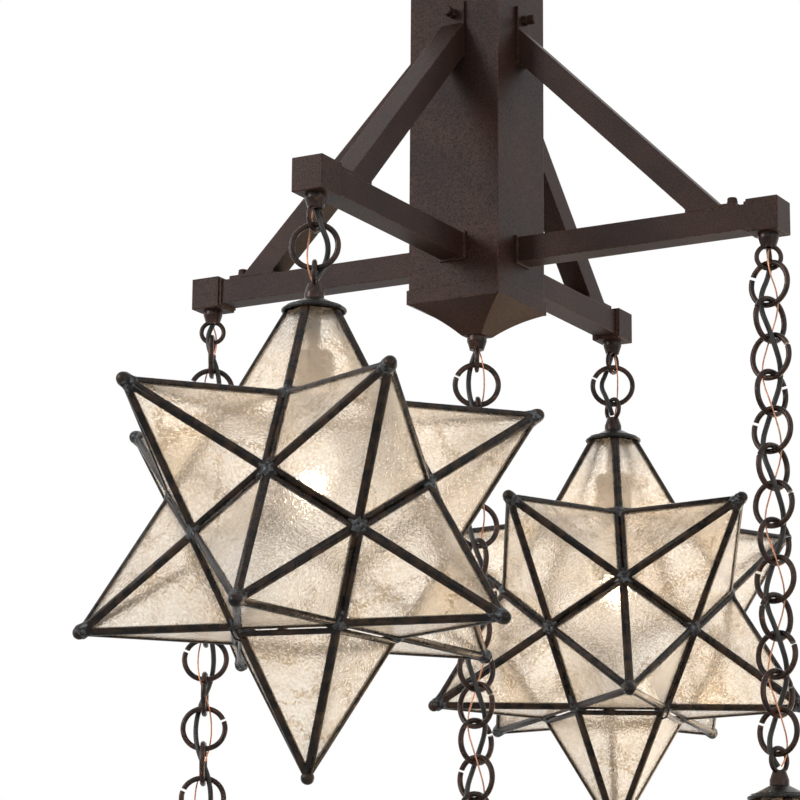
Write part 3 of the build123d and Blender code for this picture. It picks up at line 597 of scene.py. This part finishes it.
def add_bead(mesh, place, slant, base_extra):
    """The half-round face of the came round one sheet, from its outer edge to the glass."""
    half_tip = math.atan(EDGE / 2 / slant)
    rings = []
    for step in range(BEAD_STEPS + 1):
        t = math.pi * step / BEAD_STEPS
        inset = (BEAD_FROM + BEAD_TO) / 2 - (BEAD_TO - BEAD_FROM) / 2 * math.cos(t)
        height = BEAD_H * math.sin(t) - BEAD_SUNK
        base = inset + base_extra
        tip_y = slant - inset / math.sin(half_tip)
        half = (tip_y - base) * math.tan(half_tip)
        corners = ((-half, base, height), (half, base, height), (0, tip_y, height))
        rings.append([mesh.verts.new(place @ Vector(corner)) for corner in corners])
    for ring, following in zip(rings, rings[1:]):
        for i in range(3):
            j = (i + 1) % 3
            mesh.faces.new((ring[i], ring[j], following[j], following[i]))


def finish_mesh(mesh, name, material, smooth):
    data = bpy.data.meshes.new(name)
    mesh.to_mesh(data)
    mesh.free()
    if smooth:
        data.polygons.foreach_set("use_smooth", [True] * len(data.polygons))
    data.materials.append(material)
    return data


def bead_mesh(name, tips, core):
    """The rounded came faces of some of the points. The top one ends at the cap."""
    mesh = bmesh.new()
    for tip in tips:
        slant = math.hypot(BASE_IN, tip.length - BASE_Z)
        part = bmesh.new()
        for place in panel_frames(tip, core):
            add_bead(part, place, slant, DOOR_GAP if is_door(tip) else 0.0)
        if tip.z > STAR_R:
            everything = part.verts[:] + part.edges[:] + part.faces[:]
            bmesh.ops.bisect_plane(
                part, geom=everything, plane_co=(0, 0, TOP_CUT), plane_no=(0, 0, 1), clear_outer=True
            )
        scrap = bpy.data.meshes.new("scrap")
        part.to_mesh(scrap)
        part.free()
        mesh.from_mesh(scrap)
        bpy.data.meshes.remove(scrap)
    return finish_mesh(mesh, name, CAME, smooth=True)


def add_lump(mesh, centre, out, radius, arm, ends, flat, seed):
    """A lump of solder that runs a little way along every strip of came that meets in it."""
    towards = [(end - centre).normalized() for end in ends]
    made = bmesh.ops.create_icosphere(mesh, subdivisions=3, radius=1.0)["verts"]
    for vertex in made:
        ray = vertex.co.normalized()
        reach = radius + sum(arm * math.exp(LUMP_KEEN * (ray.dot(along) - 1)) for along in towards)
        offset = ray * reach
        offset -= out * offset.dot(out) * flat
        shift = Vector((seed * 3.7, 1.3, 0.4))
        offset *= 1 + LUMP_ROUGH * noise.noise(ray * LUMP_NOISE_SCALE + shift)
        vertex.co = centre + offset


def solder_mesh(name, tips, core):
    """Solder in every inner corner and on every tip but the capped one."""
    mesh = bmesh.new()
    for i, corner in enumerate(core):
        near_tips = sorted(tips, key=lambda tip: (corner - tip).length)[:3]
        near_core = sorted(core, key=lambda other: (corner - other).length)[1:4]
        out = corner.normalized()
        centre = corner - out * LUMP_BACK
        add_lump(mesh, centre, out, LUMP_R, LUMP_ARM, near_tips + near_core, LUMP_FLAT, i)
    for i, tip in enumerate(tips):
        if tip.z < STAR_R:
            near_core = sorted(core, key=lambda other: (tip - other).length)[:5]
            out = tip.normalized()
            centre = tip - out * TIP_LUMP_BACK
            add_lump(mesh, centre, out, TIP_LUMP_R, TIP_LUMP_ARM, near_core, 0.0, i + TIP_SEED)
    return finish_mesh(mesh, name, SOLDER, smooth=True)


def filament_mesh():
    """Six lit filaments that lean in a ring."""
    mesh = bmesh.new()
    for k in range(FILAMENTS):
        turn = FILAMENT_TURN * k
        foot = polar(FILAMENT_RING_R, turn, FILAMENT_Z - FILAMENT_LONG / 2)
        head = polar(FILAMENT_RING_R * FILAMENT_TOP, turn + FILAMENT_LEAN, FILAMENT_Z + FILAMENT_LONG / 2)
        along = head - foot
        leaning = along.to_track_quat("Z", "Y").to_matrix().to_4x4()
        bmesh.ops.create_cone(
            mesh, cap_ends=True, segments=10, radius1=FILAMENT_R, radius2=FILAMENT_R,
            depth=along.length, matrix=Matrix.Translation((foot + head) / 2) @ leaning,
        )
    return finish_mesh(mesh, "filaments", LIT, smooth=False)


def add_star_pieces():
    """The rounded came faces, the solder and the filaments, the same on every star."""
    tips, core = star_corners()
    door_tips = [tip for tip in tips if is_door(tip)]
    fixed_tips = [tip for tip in tips if not is_door(tip)]
    parts = (
        ("came_faces", bead_mesh("came_faces", fixed_tips, core), "star", "came_metal"),
        ("door_came_faces", bead_mesh("door_came_faces", door_tips, core), "door", "came_metal"),
        ("solder", solder_mesh("solder", fixed_tips, core), "star", "came_metal"),
        ("filaments", filament_mesh(), "star", "lamp_glass"),
    )
    for name, pendant in PENDANTS.items():
        turn = Matrix.Rotation(math.radians(pendant["latch"]), 4, "Z")
        place = Matrix.Translation(star_centre(pendant)) @ turn
        for part, data, body, slot in parts:
            placed = data.copy()
            placed.transform(place)
            add_piece(bpy.data.objects.new(f"{name}_{part}", placed), f"{name}_{body}")


# Stage and light

FLOOR_Z = -2.50
FLOOR_HALF = 9.0
FLOOR_WHITENED = 0.6
LAMP_POWER = 0.60
LAMP_COLOUR = (1.0, 0.78, 0.54)
LAMP_SIZE = 0.012
WORLD_LIGHT = 0.55


def add_floor():
    data = bpy.data.meshes.new("floor")
    corners = [(x * FLOOR_HALF, y * FLOOR_HALF, FLOOR_Z) for x, y in ((-1, -1), (1, -1), (1, 1), (-1, 1))]
    data.from_pydata(corners, [], [(0, 1, 2, 3)])
    data.materials.append(floor_material())
    floor = bpy.data.objects.new("floor", data)
    show(floor)


def add_area(name, at, towards, size, power, colour=(1, 1, 1)):
    data = bpy.data.lights.new(name, "AREA")
    data.shape = "DISK"
    data.size = size
    data.energy = power
    data.color = colour
    lamp = bpy.data.objects.new(name, data)
    show(lamp)
    lamp.location = at
    lamp.rotation_mode = "QUATERNION"
    lamp.rotation_quaternion = (Vector(towards) - Vector(at)).to_track_quat("-Z", "Y")
    lamp.visible_camera = False
    lamp.visible_transmission = False


def add_world():
    world = bpy.data.worlds.new("studio")
    world.use_nodes = True
    tree = world.node_tree
    path = add(tree, "LightPath")
    seen = math_node(tree, "MAXIMUM", path.outputs["Is Camera Ray"], path.outputs["Is Glossy Ray"])
    seen = math_node(tree, "MAXIMUM", seen, path.outputs["Is Transmission Ray"])
    white = add(tree, "Background", {"Color": (1, 1, 1, 1), "Strength": 1.0})
    soft = add(tree, "Background", {"Color": (1, 1, 1, 1), "Strength": WORLD_LIGHT})
    both = add(tree, "MixShader", {0: seen, 1: soft.outputs[0], 2: white.outputs[0]})
    tree.links.new(both.outputs[0], tree.nodes["World Output"].inputs["Surface"])
    bpy.context.scene.world = world


def add_lamp(name, at):
    """The light that the filaments of one star give."""
    data = bpy.data.lights.new(name, "POINT")
    data.energy = LAMP_POWER
    data.color = LAMP_COLOUR
    data.shadow_soft_size = LAMP_SIZE
    lamp = bpy.data.objects.new(name, data)
    lamp.location = at
    show(lamp)


def add_lights():
    middle = (0, 0, -0.8)
    for name, pendant in PENDANTS.items():
        add_lamp(f"{name}_light", star_centre(pendant) + Vector((0, 0, FILAMENT_Z)))
    add_area("key", (-2.2, -3.0, 0.6), middle, 1.6, 55)
    add_area("fill", (3.2, -1.2, -0.4), middle, 2.4, 12)
    add_area("rim", (-1.9, 2.8, 0.3), middle, 1.6, 26)
    add_area("low", (0.5, 1.4, -1.2), (0, 0, -0.5), 0.8, 10, (1.0, 0.76, 0.50))


add_camera()
add_cords()
dress_nodes()
add_star_pieces()
add_floor()
add_world()
add_lights()
bpy.context.scene.view_settings.view_transform = "Standard"
